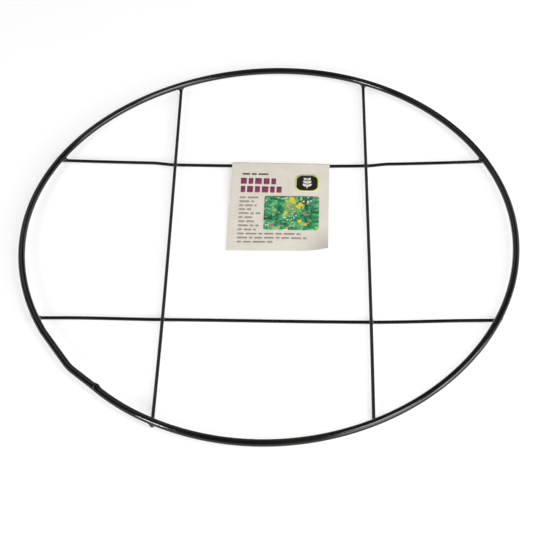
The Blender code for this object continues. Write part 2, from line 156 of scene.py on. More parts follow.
def ring_radius(angle):
    """Radius of the ring's centre line at an angle, coming back to its curve after the weld."""
    after = np.degrees(angle) % 360.0 - WELD_AT
    dip = np.where((after >= 0.0) & (after < DIP_RUN), WELD_DIP * (1.0 - after / DIP_RUN) ** 2, 0.0)
    return curve_radius(angle) - dip


def ring_point(degrees, out=0.0):
    """Points of the ring's centre line, moved outwards by out."""
    angle = np.radians(degrees)
    radius = ring_radius(angle) + out
    return np.stack([radius * np.cos(angle), radius * np.sin(angle), np.full_like(radius, RING_Z)], -1)


def ring_path():
    """Evenly spaced points round the ring, from the weld on, with the bend at its kink rounded."""
    weld = ring_point(WELD_AT)
    kink = ring_point(KINK_AT, KINK_OUT)
    flat = ring_point(FLAT_AT)
    before = kink + (flat - kink) / np.linalg.norm(flat - kink) * KINK_ROUND
    after = kink + (weld - kink) / np.linalg.norm(weld - kink) * KINK_ROUND
    share = np.linspace(0.0, 1.0, BEND_POINTS)[:, None]
    bend = before * (1 - share) ** 2 + kink * 2 * share * (1 - share) + after * share ** 2
    curve = ring_point(np.linspace(WELD_AT, FLAT_AT + 360.0, ROUGH_POINTS))
    rough = np.vstack([curve, bend, weld[None]])
    run = np.concatenate([[0.0], np.cumsum(np.linalg.norm(np.diff(rough, axis=0), axis=1))])
    even = np.linspace(0.0, run[-1], RING_STEPS + 1)[:-1]
    fine = np.arange(-WELD_ZONE, WELD_ZONE, WELD_STEP) % run[-1]
    far = np.minimum(even, run[-1] - even) > WELD_ZONE
    even = np.sort(np.concatenate([even[far], fine]))
    return np.stack([np.interp(even, run, rough[:, axis]) for axis in range(3)], -1), even, run[-1]


RING_PATH, RING_RUN, RING_LENGTH = ring_path()
MIDDLE = np.append((RING_PATH.min(0)[:2] + RING_PATH.max(0)[:2]) / 2, 0.0)


def to_metres(points):
    """Points from the ring's own axes, in millimetres, into the model's axes, in metres."""
    return (np.asarray(points) - MIDDLE) * MM


class RingNear:
    """The ring bar near one of its joints: distances from its skin, and places along it."""
    half = RING_HALF
    sides = RING_SIDES

    def __init__(self, angle, reach):
        self.angle = angle
        self.reach = reach

    def distance(self, points):
        angle = np.arctan2(points[:, 1], points[:, 0])
        out = np.hypot(points[:, 0], points[:, 1]) - ring_radius(angle)
        return np.hypot(out, points[:, 2] - RING_Z) - RING_HALF

    def along(self, points):
        """Signed distance along the bar from the joint."""
        angle = np.arctan2(points[:, 1], points[:, 0]) - self.angle
        return RING_RADIUS * ((angle + math.pi) % (2 * math.pi) - math.pi)

    def path(self):
        spread = np.linspace(-self.reach, self.reach, JOINT_POINTS) / RING_RADIUS
        return ring_point(np.degrees(self.angle + spread))


class Wire:
    """One of the four wires. axis is the one that it runs along: 0 for X, 1 for Y.

    place is where its middle lies across that axis, and skew how far its last end lies from its first across
    it. bow and sway are how far it leaves the straight line, to one side and in an S. A lower wire climbs
    over rise_share of its way from a crossing to the ring. A tail is how far an end runs past the ring's
    centre line.
    """

    def __init__(self, name, axis, place, skew, bow, sway, rise_share=None, first_tail=TAIL, last_tail=TAIL):
        self.name = name
        self.axis = axis
        self.place = place
        self.skew = skew
        self.bow = bow
        self.sway = sway
        self.rise_share = rise_share
        self.first = self.ring_end(-1)
        self.last = self.ring_end(1)
        self.start = self.first - first_tail
        self.end = self.last + last_tail
        self.turns = None

    def ring_end(self, side):
        """Where the wire meets the ring's centre line."""
        across = self.place + side * self.skew / 2
        radius = RING_RADIUS
        for _ in range(TRIES):
            along = side * math.sqrt(radius * radius - across * across)
            place = (across, along) if self.axis == 1 else (along, across)
            radius = float(ring_radius(math.atan2(place[1], place[0])))
        return along

    def across(self, along):
        share = (along - self.first) / (self.last - self.first)
        straight = self.place + self.skew * (share - 0.5)
        return straight + self.bow * 4.0 * share * (1.0 - share) + self.sway * np.sin(2 * math.pi * share)

    def height(self, along):
        """The upper wires are straight. A lower one dips to pass under them."""
        if self.axis == 1:
            return np.full_like(along, UPPER_Z)
        low, high = self.turns
        low_run = self.rise_share * (low - self.first)
        high_run = self.rise_share * (self.last - high)
        past = np.maximum((along - high) / high_run, (low - along) / low_run)
        return LOWER_Z + (UPPER_Z - LOWER_Z) * smooth_step(past)

    def point(self, along):
        along = np.asarray(along, float)
        place = [along, self.across(along)] if self.axis == 0 else [self.across(along), along]
        return np.stack([*place, self.height(along)], -1)

    def distance(self, points):
        """Distance from the wire's skin, whose ends are round."""
        along = points[:, self.axis]
        held = np.clip(along, self.start + WIRE_HALF, self.end - WIRE_HALF)
        out = points[:, 1 - self.axis] - self.across(held)
        rise = points[:, 2] - self.height(held)
        return np.sqrt((along - held) ** 2 + out ** 2 + rise ** 2) - WIRE_HALF


class WireNear:
    """A wire near one of its joints."""
    half = WIRE_HALF
    sides = WIRE_SIDES

    def __init__(self, wire, place, reach):
        self.wire = wire
        self.place = place
        self.first = max(place - reach, wire.start)
        self.last = min(place + reach, wire.end)
        self.distance = wire.distance

    def along(self, points):
        """Signed distance from the joint, or none towards an end of the wire that lies within the reach."""
        run = points[:, self.wire.axis] - self.place
        if self.first == self.wire.start:
            run = np.maximum(run, 0.0)
        if self.last == self.wire.end:
            run = np.minimum(run, 0.0)
        return run

    def path(self):
        return self.wire.point(np.linspace(self.first, self.last, JOINT_POINTS))


LEFT = Wire("left", axis=1, place=-81.08, skew=-0.57, bow=0.86, sway=0.22, first_tail=NIB_TAIL)
RIGHT = Wire("right", axis=1, place=79.51, skew=-0.67, bow=0.49, sway=0.10, first_tail=SHORT_TAIL)
BACK = Wire("back", axis=0, place=87.38, skew=-1.92, bow=-4.50, sway=0.27, rise_share=0.2)
FRONT = Wire("front", axis=0, place=-82.97, skew=-1.47, bow=-0.57, sway=0.75, rise_share=0.77)
UPPER_WIRES = (LEFT, RIGHT)
LOWER_WIRES = (BACK, FRONT)


def crossing(lower, upper):
    """Where two wires cross, seen from above."""
    x = upper.place
    for _ in range(TRIES):
        y = lower.across(x)
        x = upper.across(y)
    return x, y


for lower_wire in LOWER_WIRES:
    lower_wire.turns = (crossing(lower_wire, LEFT)[0], crossing(lower_wire, RIGHT)[0])


# Meshes


def new_piece(name, points, faces, material, body, nodes=()):
    """A mesh object in the model's axes, from points in the ring's own axes."""
    mesh = bpy.data.meshes.new(name)
    mesh.from_pydata(to_metres(points).tolist(), [], [list(face) for face in faces])
    mesh.update()
    shape = bmesh.new()
    shape.from_mesh(mesh)
    bmesh.ops.recalc_face_normals(shape, faces=shape.faces)
    shape.to_mesh(mesh)
    shape.free()
    mesh.shade_smooth()
    mesh.materials.append(material)
    piece = bpy.data.objects.new(name, mesh)
    bpy.context.scene.collection.objects.link(piece)
    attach(piece, body)
    if nodes:
        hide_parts(*nodes)


def sweep(path, radii, sides, closed):
    """Points and faces of a round bar along a path.

    radii has a row for each point of the path, and a column for each side or just one.
    """
    if closed:
        ahead = np.roll(path, -1, 0) - np.roll(path, 1, 0)
    else:
        ahead = np.gradient(path, axis=0)
    ahead = unit(ahead)
    side = unit(np.cross((0.0, 0.0, 1.0), ahead))
    up = np.cross(ahead, side)
    angle = np.arange(sides) * 2 * math.pi / sides
    ways = side[:, None] * np.cos(angle)[None, :, None] + up[:, None] * np.sin(angle)[None, :, None]
    points = (path[:, None] + ways * radii[..., None]).reshape(-1, 3)
    count = len(path)
    faces = []
    for row in range(count if closed else count - 1):
        near = row * sides
        far = (row + 1) % count * sides
        for number in range(sides):
            beside = (number + 1) % sides
            faces.append((near + number, near + beside, far + beside, far + number))
    if not closed:
        faces.append(tuple(range(sides))[::-1])
        faces.append(tuple(range((count - 1) * sides, count * sides)))
    return points, faces


def sheet_faces(lines, places):
    """Faces of a closed thin sheet, from its upper points, its lower points in the same order, and its rim.

    Either side's points are a grid, given line by line, with this many places in each line.
    """
    lower = lines * places
    faces = []
    for line in range(lines - 1):
        for place in range(places - 1):
            near = line * places + place
            far = near + places
            faces.append((near, near + 1, far + 1, far))
            faces.append((lower + near, lower + far, lower + far + 1, lower + near + 1))
    rim = list(range(places))
    rim += [line * places + places - 1 for line in range(1, lines)]
    rim += [(lines - 1) * places + place for place in range(places - 2, -1, -1)]
    rim += [line * places for line in range(lines - 2, 0, -1)]
    for near, far in zip(rim, rim[1:] + rim[:1]):
        faces.append((near, far, lower + far, lower + near))
    return faces


# Joints between bars


def near_distance(bars, pool, points):
    """Distance from the skin over two bars, with plastic pooled in the corner between them."""
    first = bars[0].distance(points)
    second = bars[1].distance(points)
    close = np.maximum(pool - np.abs(first - second), 0.0) / pool
    return np.minimum(first, second) - close * close * pool / 4.0


def beyond(bars, points):
    """How far along its own bar each point lies from the joint."""
    first = bars[0].distance(points)
    second = bars[1].distance(points)
    return np.where(first < second, np.abs(bars[0].along(points)), np.abs(bars[1].along(points)))


def settle(bars, pool, reach, points):
    """Move points onto the joint's skin, which sinks into the bars' own skins at its far ends."""
    sink = smooth_step((beyond(bars, points) - (reach - RUN_OUT)) / RUN_OUT) * 2 * UNDER
    for _ in range(SETTLE_TURNS):
        off = near_distance(bars, pool, points) + sink
        slope = np.empty_like(points)
        for axis in range(3):
            moved = points.copy()
            moved[:, axis] += SLOPE_STEP
            ahead = near_distance(bars, pool, moved)
            moved[:, axis] -= 2 * SLOPE_STEP
            slope[:, axis] = (ahead - near_distance(bars, pool, moved)) / (2 * SLOPE_STEP)
        square = np.maximum((slope ** 2).sum(1), SLOPE_LEAST)
        points = points - slope * np.clip(off / square, -SETTLE_MOST, SETTLE_MOST)[:, None]
    return points


def relaxed(points, edges, rim):
    """Each point moved halfway to the mean of its neighbours, apart from those on the rim."""
    around = np.zeros_like(points)
    count = np.zeros(len(points))
    for first, second in (edges.T, edges.T[::-1]):
        np.add.at(around, first, points[second])
        np.add.at(count, first, 1.0)
    return np.where(rim[:, None], points, (points + around / count[:, None]) / 2)


def voxel_union(bars, voxel):
    """The bars near their joint as one mesh of even quads, in millimetres."""
    points = []
    faces = []
    for bar in bars:
        path = bar.path()
        made, sides = sweep(path, np.full((len(path), 1), bar.half), bar.sides, closed=False)
        faces += [tuple(index + len(points) for index in face) for face in sides]
        points += made.tolist()
    mesh = bpy.data.meshes.new("rough")
    mesh.from_pydata(points, [], faces)
    rough = bpy.data.objects.new("rough", mesh)
    bpy.context.scene.collection.objects.link(rough)
    remesh = rough.modifiers.new("even", "REMESH")
    remesh.mode = "VOXEL"
    remesh.voxel_size = voxel
    bpy.context.view_layer.update()
    made = bpy.data.meshes.new_from_object(rough.evaluated_get(bpy.context.evaluated_depsgraph_get()))
    bpy.data.objects.remove(rough)
    return made


def close_ends(shape):
    """Fill a bmesh's open ends with triangles."""
    bmesh.ops.holes_fill(shape, edges=[edge for edge in shape.edges if edge.is_boundary], sides=0)
    bmesh.ops.triangulate(shape, faces=[face for face in shape.faces if len(face.verts) > 4])
    shape.verts.index_update()


def joint_skin(name, bars, pool, reach, voxel, nodes):
    """One joint's skin: both bars and the plastic pooled between them."""
    made = voxel_union(bars, voxel)
    shape = bmesh.new()
    shape.from_mesh(made)
    bpy.data.meshes.remove(made)
    places = np.array([vert.co for vert in shape.verts])
    cut = beyond(bars, places) > reach - CUT_BACK * voxel
    bmesh.ops.delete(shape, geom=[vert for vert, past in zip(shape.verts, cut) if past], context="VERTS")
    shape.verts.index_update()
    edges = np.array([[vert.index for vert in edge.verts] for edge in shape.edges])
    rim = np.array([vert.is_boundary for vert in shape.verts])
    points = settle(bars, pool, reach, np.array([vert.co for vert in shape.verts]))
    for _ in range(RELAX_TURNS):
        points = settle(bars, pool, reach, relaxed(points, edges, rim))
    for vert, place in zip(shape.verts, points):
        vert.co = place
    close_ends(shape)
    points = np.array([vert.co for vert in shape.verts])
    faces = [tuple(vert.index for vert in face.verts) for face in shape.faces]
    shape.free()
    new_piece(name, points, faces, PLASTIC, "frame", nodes)


# Materials


def new_material(name, colour, roughness, metallic=0.0):
    material = bpy.data.materials.new(name)
    material.use_nodes = True
    shader = material.node_tree.nodes["Principled BSDF"]
    shader.inputs["Base Color"].default_value = (*colour, 1.0)
    shader.inputs["Roughness"].default_value = roughness
    shader.inputs["Metallic"].default_value = metallic
    return material, material.node_tree, shader


def add_node(tree, kind, **settings):
    node = tree.nodes.new(kind)
    for key, value in settings.items():
        setattr(node, key, value)
    return node


def noise(tree, where, scale, detail=3.0, rough=0.5):
    node = tree.nodes.new("ShaderNodeTexNoise")
    node.inputs["Scale"].default_value = scale
    node.inputs["Detail"].default_value = detail
    node.inputs["Roughness"].default_value = rough
    tree.links.new(where, node.inputs["Vector"])
    return node.outputs["Fac"]


def ramp(tree, factor, *stops):
    """A colour ramp; a stop is a position and a colour or a grey value."""
    node = tree.nodes.new("ShaderNodeValToRGB")
    elements = node.color_ramp.elements
    while len(elements) < len(stops):
        elements.new(0.5)
    for element, (place, colour) in zip(elements, stops):
        element.position = place
        element.color = (*colour, 1.0) if isinstance(colour, tuple) else (colour, colour, colour, 1.0)
    tree.links.new(factor, node.inputs["Fac"])
    return node.outputs["Color"]


def object_space(tree):
    return tree.nodes.new("ShaderNodeTexCoord").outputs["Object"]


def bump(tree, shader, height, strength, distance):
    node = tree.nodes.new("ShaderNodeBump")
    node.inputs["Strength"].default_value = strength
    node.inputs["Distance"].default_value = distance
    tree.links.new(height, node.inputs["Height"])
    tree.links.new(node.outputs["Normal"], shader.inputs["Normal"])


def cells(tree, where, scale, output):
    """An output of a pattern of cells: the Color of each, or the Distance from its middle."""
    node = tree.nodes.new("ShaderNodeTexVoronoi")
    node.inputs["Scale"].default_value = scale
    tree.links.new(where, node.inputs["Vector"])
    return node.outputs[output]


def grey(tree, colour):
    node = tree.nodes.new("ShaderNodeSeparateColor")
    tree.links.new(colour, node.inputs["Color"])
    return node.outputs["Red"]


def mix(tree, factor, first, second, blend_type="MIX"):
    """Two colours mixed by a factor, which is an output or, for the same mix all over, a number."""
    node = add_node(tree, "ShaderNodeMix", data_type="RGBA", blend_type=blend_type)
    if isinstance(factor, float):
        node.inputs["Factor"].default_value = factor
    else:
        tree.links.new(factor, node.inputs["Factor"])
    tree.links.new(first, node.inputs["A"])
    tree.links.new(second, node.inputs["B"])
    return node.outputs["Result"]


def combine(tree, operation, first, second):
    """Two outputs put together by a Math node's operation."""
    node = add_node(tree, "ShaderNodeMath", operation=operation)
    tree.links.new(first, node.inputs[0])
    tree.links.new(second, node.inputs[1])
    return node.outputs[0]


def map_range(tree, value, first, last, low, high):
    """low up to where the value is first, high from where it is last, and a straight slope between."""
    node = tree.nodes.new("ShaderNodeMapRange")
    for label, number in (("From Min", first), ("From Max", last), ("To Min", low), ("To Max", high)):
        node.inputs[label].default_value = number
    tree.links.new(value, node.inputs["Value"])
    return node.outputs[0]


def plastic_material():
    """Dipped black plastic: glossy, a touch olive, with soft ripples and a few dull rubbed places."""
    material, tree, shader = new_material("dipped_plastic", (0.006, 0.006, 0.005), 0.15)
    shader.inputs["Specular IOR Level"].default_value = 0.39
    where = object_space(tree)
    cloud = noise(tree, where, 38.0, 4.0)
    tint = ramp(tree, cloud, (0.35, (0.0042, 0.0042, 0.0034)), (0.70, (0.0085, 0.0085, 0.0066)))
    tree.links.new(tint, shader.inputs["Base Color"])
    rubbed = ramp(tree, noise(tree, where, 120.0, 3.0), (0.30, 0.10), (0.62, 0.17), (0.80, 0.30))
    tree.links.new(rubbed, shader.inputs["Roughness"])
    bump(tree, shader, noise(tree, where, 140.0, 2.0), 0.15, 0.00020)
    return material


def steel_material():
    """Drawn steel rod, faintly stained."""
    material, tree, shader = new_material("drawn_steel", (0.42, 0.42, 0.41), 0.38, 1.0)
    where = object_space(tree)
    stain = ramp(tree, noise(tree, where, 60.0, 5.0), (0.3, (0.33, 0.33, 0.32)), (0.7, (0.48, 0.48, 0.47)))
    tree.links.new(stain, shader.inputs["Base Color"])
    bump(tree, shader, noise(tree, where, 900.0, 4.0), 0.3, 0.00005)
    return material


CARD_COLOUR = (0.640, 0.594, 0.526)


def card_material():
    """Off-white uncoated card, with faint mottling and fine fibres."""
    material, tree, shader = new_material("printed_card", CARD_COLOUR, 0.6)
    shader.inputs["Specular IOR Level"].default_value = 0.2
    where = object_space(tree)
    cloud = noise(tree, where, 95.0, 5.0, 0.6)
    mottle = ramp(tree, cloud, (0.30, (0.615, 0.569, 0.499)), (0.72, (0.660, 0.618, 0.554)))
    fleck = noise(tree, where, 1500.0, 2.0, 0.7)
    fibres = ramp(tree, fleck, (0.28, (0.93, 0.92, 0.90)), (0.50, (1.0, 1.0, 1.0)))
    tree.links.new(mix(tree, 1.0, mottle, fibres, "MULTIPLY"), shader.inputs["Base Color"])
    worn = ramp(tree, noise(tree, where, 160.0, 3.0), (0.3, 0.52), (0.7, 0.68))
    tree.links.new(worn, shader.inputs["Roughness"])
    bump(tree, shader, noise(tree, where, 2200.0, 4.0, 0.6), 0.18, 0.00004)
    return material


def ink_material(name, colour, bare=0.14):
    """Print on the card: a little thinner here and there, where a share of the card shows, and as satin."""
    material, tree, shader = new_material(name, colour, 0.6)
    shader.inputs["Specular IOR Level"].default_value = 0.2
    where = object_space(tree)
    thin = tuple((1 - bare) * part + bare * card for part, card in zip(colour, CARD_COLOUR))
    cover = ramp(tree, noise(tree, where, 900.0, 4.0, 0.7), (0.42, colour), (0.75, thin))
    tree.links.new(cover, shader.inputs["Base Color"])
    bump(tree, shader, noise(tree, where, 2200.0, 4.0, 0.6), 0.15, 0.00004)
    return material


# Blossoms of the printed picture: cells in a metre, the share of cells without one, the colour, and how far
# its pattern is moved, in metres, so that each kind has its own places
Blossom = namedtuple("Blossom", "scale bare colour shift")
BLOSSOMS = (
    Blossom(190.0, 0.45, (0.780, 0.590, 0.030), 0.0),       # large yellow heads
    Blossom(340.0, 0.74, (0.500, 0.220, 0.120), 5.0),       # rust
    Blossom(520.0, 0.50, (0.660, 0.650, 0.610), 9.0),       # small white ones
    Blossom(330.0, 0.80, (0.420, 0.170, 0.260), 14.0),      # pink
)


def blossom_cover(tree, where, blossom):
    """Where the picture has blossoms of one kind: round heads in some of its cells, gathered in drifts."""
    moved = add_node(tree, "ShaderNodeVectorMath", operation="ADD")
    tree.links.new(where, moved.inputs[0])
    moved.inputs[1].default_value = (blossom.shift, blossom.shift, 0.0)
    place = moved.outputs[0]
    cell_tone = grey(tree, cells(tree, place, blossom.scale, "Color"))
    chosen = ramp(tree, cell_tone, (blossom.bare, 0.0), (blossom.bare + 0.01, 1.0))
    head = ramp(tree, cells(tree, place, blossom.scale, "Distance"), (0.38, 1.0), (0.50, 0.0))
    drift = ramp(tree, noise(tree, place, 75.0, 1.0), (0.54, 0.0), (0.58, 1.0))
    return combine(tree, "MULTIPLY", combine(tree, "MULTIPLY", chosen, head), drift)


def picture_material():
    """A printed flower bed: clumps of leaves in several greens, with drifts of blossoms."""
    material, tree, shader = new_material("printed_flower_bed", (0.13, 0.30, 0.13), 0.55)
    shader.inputs["Specular IOR Level"].default_value = 0.22
    where = object_space(tree)
    leaf_tone = grey(tree, cells(tree, where, 560.0, "Color"))
    leaves = ramp(tree, leaf_tone, (0.0, (0.006, 0.050, 0.022)), (0.30, (0.020, 0.180, 0.075)),
                  (0.55, (0.012, 0.260, 0.130)), (0.78, (0.140, 0.430, 0.120)), (1.0, (0.440, 0.620, 0.230)))
    bush_tone = noise(tree, where, 85.0, 2.0, 0.5)
    bushes = ramp(tree, bush_tone, (0.38, (0.006, 0.022, 0.012)), (0.45, (0.010, 0.150, 0.080)),
                  (0.52, (0.030, 0.350, 0.170)), (0.59, (0.230, 0.480, 0.090)), (0.67, (0.480, 0.400, 0.250)))
    result = mix(tree, 0.5, leaves, bushes)
    for blossom in BLOSSOMS:
        cover = blossom_cover(tree, where, blossom)
        shade = tuple(0.6 * part for part in blossom.colour)
        tone = ramp(tree, noise(tree, where, 800.0, 2.0), (0.3, shade), (0.6, blossom.colour))
        result = mix(tree, cover, result, tone)
    tree.links.new(result, shader.inputs["Base Color"])
    bump(tree, shader, noise(tree, where, 2200.0, 3.0, 0.6), 0.1, 0.00003)
    return material


PLASTIC = plastic_material()
STEEL = steel_material()


# The frame


def under_joints(run_to_joints, reach):
    """How far a bar's plain skin lies under its joints' skins, from the distance to the nearest joint."""
    return UNDER * (1.0 - smooth_step((run_to_joints - (reach - RUN_OUT)) / RUN_OUT))


def joint_angles():
    """Where the wires meet the ring, in radians round it."""
    for wire in UPPER_WIRES + LOWER_WIRES:
        for place in (wire.first, wire.last):
            x, y, _ = wire.point(place)
            yield math.atan2(y, x)


# Marks of the butt weld in the skin. Each is a bump or a hollow: its place along the bar, past the weld's
# middle, and round the bar, from its inner side over its top, then how far it runs each way along the bar and
# round it, and its height
WeldMark = namedtuple("WeldMark", "along turn length spread height")
WELD_MARKS = (
    WeldMark(2.4, 38.0, 4.2, 95.0, 0.90),       # bead that hangs to the inner side
    WeldMark(3.1, 100.0, 0.9, 60.0, -0.40),     # notch across it
    WeldMark(1.9, 112.0, 0.9, 24.0, 0.45),      # drop of plastic beside the notch
    WeldMark(-1.6, 100.0, 1.2, 110.0, 0.12),    # ridge where the rod was upset
)


def weld_height(run):
    """How far the weld's marks raise the skin, at each place along the ring and each side of it."""
    past = (run + RING_LENGTH / 2) % RING_LENGTH - RING_LENGTH / 2
    turn = np.arange(RING_SIDES) * 360.0 / RING_SIDES
    height = np.zeros((len(run), RING_SIDES))
    for mark in WELD_MARKS:
        near = np.abs(past - mark.along) / mark.length
        aside = np.abs((turn - mark.turn + 180.0) % 360.0 - 180.0) / mark.spread
        height += mark.height * smooth_step(1.0 - near)[:, None] * smooth_step(1.0 - aside)[None]
    return height


def make_ring():
    joints = [RingNear(angle, RING_JOINT_REACH) for angle in joint_angles()]
    nearest = np.min([np.abs(joint.along(RING_PATH)) for joint in joints], axis=0)
    half = RING_HALF - under_joints(nearest, RING_JOINT_REACH)
    radii = half[:, None] + weld_height(RING_RUN)
    points, faces = sweep(RING_PATH, radii, RING_SIDES, closed=True)
    new_piece("ring_skin", points, faces, PLASTIC, "frame", ("ring_coat",))


def make_wire_skin(wire):
    """A wire's plain skin, with round ends."""
    count = int((wire.end - wire.start) / WIRE_STEP)
    body = np.linspace(wire.start + WIRE_HALF, wire.end - WIRE_HALF, count)
    angle = np.radians(np.linspace(*ROUND_END))
    tip = WIRE_HALF * (1 - np.cos(angle))
    places = np.concatenate([wire.start + tip, body, wire.end - tip[::-1]])
    shares = np.concatenate([np.sin(angle), np.ones(count), np.sin(angle)[::-1]])
    ends = np.minimum(np.abs(places - wire.first), np.abs(places - wire.last))
    hide = under_joints(ends, RING_JOINT_REACH)
    for other in (LOWER_WIRES if wire in UPPER_WIRES else UPPER_WIRES):
        x, y = crossing(wire, other) if wire in LOWER_WIRES else crossing(other, wire)
        cross = np.abs(places - (x if wire.axis == 0 else y))
        hide = np.maximum(hide, under_joints(cross, CROSS_JOINT_REACH))
    radii = ((WIRE_HALF - hide) * shares)[:, None]
    points, faces = sweep(wire.point(places), radii, WIRE_SIDES, closed=False)
    name = wire.name + "_wire"
    new_piece(name + "_skin", points, faces, PLASTIC, "frame", (name + "_coat",))


def make_core(wire):
    """The steel inside a wire, up to its skin's round ends."""
    count = int((wire.end - wire.start) / WIRE_STEP)
    places = np.linspace(wire.start + CORE_SHORT, wire.end - CORE_SHORT, count)
    radii = np.full((count, 1), WIRE_ROD / 2)
    points, faces = sweep(wire.point(places), radii, CORE_SIDES, closed=False)
    name = wire.name + "_wire"
    new_piece(name + "_core", points, faces, STEEL, "frame", (name,))


def make_joints():
    """The skins of the wires' joints with the ring and of their crossings."""
    words = {0: ("left", "right"), 1: ("front", "back")}
    for wire in UPPER_WIRES + LOWER_WIRES:
        for place, word in zip((wire.first, wire.last), words[wire.axis]):
            x, y, _ = wire.point(place)
            bars = (RingNear(math.atan2(y, x), RING_JOINT_REACH), WireNear(wire, place, RING_JOINT_REACH))
            name = wire.name + "_" + word
            joint_skin(name + "_joint", bars, RING_POOL, RING_JOINT_REACH, RING_VOXEL, (name + "_web",))
    for lower in LOWER_WIRES:
        for upper in UPPER_WIRES:
            x, y = crossing(lower, upper)
            bars = (WireNear(lower, x, CROSS_JOINT_REACH), WireNear(upper, y, CROSS_JOINT_REACH))
            name = "cross_" + lower.name + "_" + upper.name
            joint_skin(name + "_joint", bars, CROSS_POOL, CROSS_JOINT_REACH, CROSS_VOXEL, (name + "_web",))


# The label. Its own axes: x along the wire, y to the back and z up, from the wire's centre line.


def fold_radius(share):
    """Inner radius of the card's fold, at a share of its width from the left."""
    return FOLD_LEFT + (FOLD_RIGHT - FOLD_LEFT) * share


def card_top(share, y):
    """Height of the printed face, from the fold's crest down to the free edge."""
    centre = fold_radius(share) - FOLD_DROP
    crest = centre + fold_radius(share) + CARD
    edge = FREE_EDGE_LIFT + 2 * CARD - LOWER_Z
    return crest + (edge - crest) * (centre - y) / (centre + LABEL_LENGTH)


def card_line(share):
    """Middle of the card's thickness at a share of its width, as y and z, from free edge to free edge."""
    fold = fold_radius(share)
    centre = fold - FOLD_DROP
    body = np.arange(CARD_BODY, LABEL_LENGTH, CARD_STEP)
    far = np.concatenate([[run for run, _ in CARD_RIM], body]) - LABEL_LENGTH
    upper = np.stack([far, card_top(share, far) - CARD / 2], -1)
    angle = np.radians(np.linspace(90.0, -90.0, FOLD_STEPS + 1))
    arc = centre + (fold + CARD / 2) * np.stack([np.cos(angle), np.sin(angle)], -1)
    back = far[::-1]
    under = card_top(share, back) - 1.5 * CARD
    climb = smooth_step((centre - back) / (centre + GLUE_FROM))
    bottom = centre - fold - CARD / 2
    lower = np.stack([back, bottom + (under - bottom) * climb], -1)
    last = centre - FOLD_CLEAR
    return np.vstack([upper[upper[:, 0] < last], arc, lower[lower[:, 0] < last]])


def card_lift(x, y):
    """How far the card rises off its flat shape: curled corners and slow waves."""
    lift = np.zeros(np.broadcast(x, y).shape)
    for curl in CURLS:
        sideways = (curl.side * x - (LABEL_WIDTH / 2 - curl.width)) / curl.width
        forward = (-y - (LABEL_LENGTH - curl.length)) / curl.length
        lift = lift + curl.lift * np.maximum(sideways, 0.0) ** 2 * np.maximum(forward, 0.0) ** 2
    for wide, deep, phase in BULGE_WAYS:
        wave = 1.0 + np.sin(2 * math.pi * (x / wide + y / deep) + phase)
        lift = lift + BULGE * wave * smooth_step(-y / GLUE_FROM / 2)
    return lift


LABEL_LEFT = BACK.point(LABEL_AT - LABEL_WIDTH / 2)
LABEL_RIGHT = BACK.point(LABEL_AT + LABEL_WIDTH / 2)
LABEL_PLACE = (BACK.point(LABEL_AT) + (LABEL_LEFT + LABEL_RIGHT) / 2) / 2
LABEL_ALONG = unit((LABEL_RIGHT - LABEL_LEFT) * (1.0, 1.0, 0.0))
LABEL_BACK = np.cross((0.0, 0.0, 1.0), LABEL_ALONG)


def card_points(x, y, z):
    """Points of the square, flat card where they lie: askew, curled, and turned along the wire."""
    x, y, z = np.broadcast_arrays(x, y, z)
    rise = z + card_lift(x, y)
    aside = x + LABEL_SKEW * np.minimum(y, 0.0) / LABEL_LENGTH
    up = np.array([0.0, 0.0, 1.0])
    return LABEL_PLACE + aside[..., None] * LABEL_ALONG + y[..., None] * LABEL_BACK + rise[..., None] * up


def make_card():
    """The folded card: one ribbon round the wire, its two leaves glued together below the fold."""
    half = LABEL_WIDTH / 2
    rim, shares = np.array(CARD_RIM).T
    body = np.linspace(CARD_BODY, LABEL_WIDTH - CARD_BODY, int(LABEL_WIDTH / CARD_STEP))
    across = np.concatenate([rim, body, LABEL_WIDTH - rim[::-1]]) - half
    rows = len(card_line(0.0))
    thin = np.ones(rows)
    thin[:len(shares)] = shares
    thin[-len(shares):] = shares[::-1]
    outer = []
    inner = []
    for x in across:
        line = card_line((x + half) / LABEL_WIDTH)
        ahead = unit(np.gradient(line, axis=0))
        out = np.stack([-ahead[:, 1], ahead[:, 0]], -1)
        edge = np.interp(half - abs(x), rim, shares)
        depth = (CARD - GLUE_GAP) / 2 * np.minimum(thin, edge)
        for leaf, way in ((outer, 1), (inner, -1)):
            y, z = (line + way * out * depth[:, None]).T
            leaf.append(card_points(x, y, z))
    points = np.concatenate([outer, inner]).reshape(-1, 3)
    faces = sheet_faces(len(across), rows)
    new_piece("card", points, faces, card_material(), "label", ("label_card",))


# Print. Places on the card are given from its left edge, and down from the fold's crest.
INK = 0.03                      # height of the print's upper side over the card's face
INK_DEPTH = 0.08                # how far its lower side lies in the card
PRINT_STEP = 1.5
CORNER_BEND = (12.0, 90.0, 6)   # first angle, last angle and number of the points round a patch's corner
WORD_GAP = 1.5
WORD_CORNER = 0.6
# A line of bars: its first place, its last place, and the bars' middle and height
SMALL_LINE = (9.0, 33.5, 12.0, 1.9)
SMALL_WORDS = (6.5, 4.0, 8.5)   # the bars' widths, in turn
SMALL_CORNER = 0.5
HEADING = ((8.2, 39.7, 19.8, 6.6), (8.4, 42.4, 28.9, 6.8))
HEADING_BLOCKS = ((4.9, 3.9, 5.6), (3.8, 5.0, 4.2, 5.4))
TEXT_FIRST = 38.0
TEXT_PITCH = 4.29
TEXT_LEFT = 8.0
TEXT_TALL = 2.0
TEXT_GAP = 1.4
TEXT_ENDS = (24.0, 20.0, 22.5, 18.0, 26.0, 19.5, 21.0, 25.0, 23.0, 61.0, 66.5, 38.0)
TEXT_WORDS = ((5.2, 9.0, 3.4, 7.6), (8.2, 3.0, 6.4), (3.6, 6.2, 10.4, 4.4, 7.0))
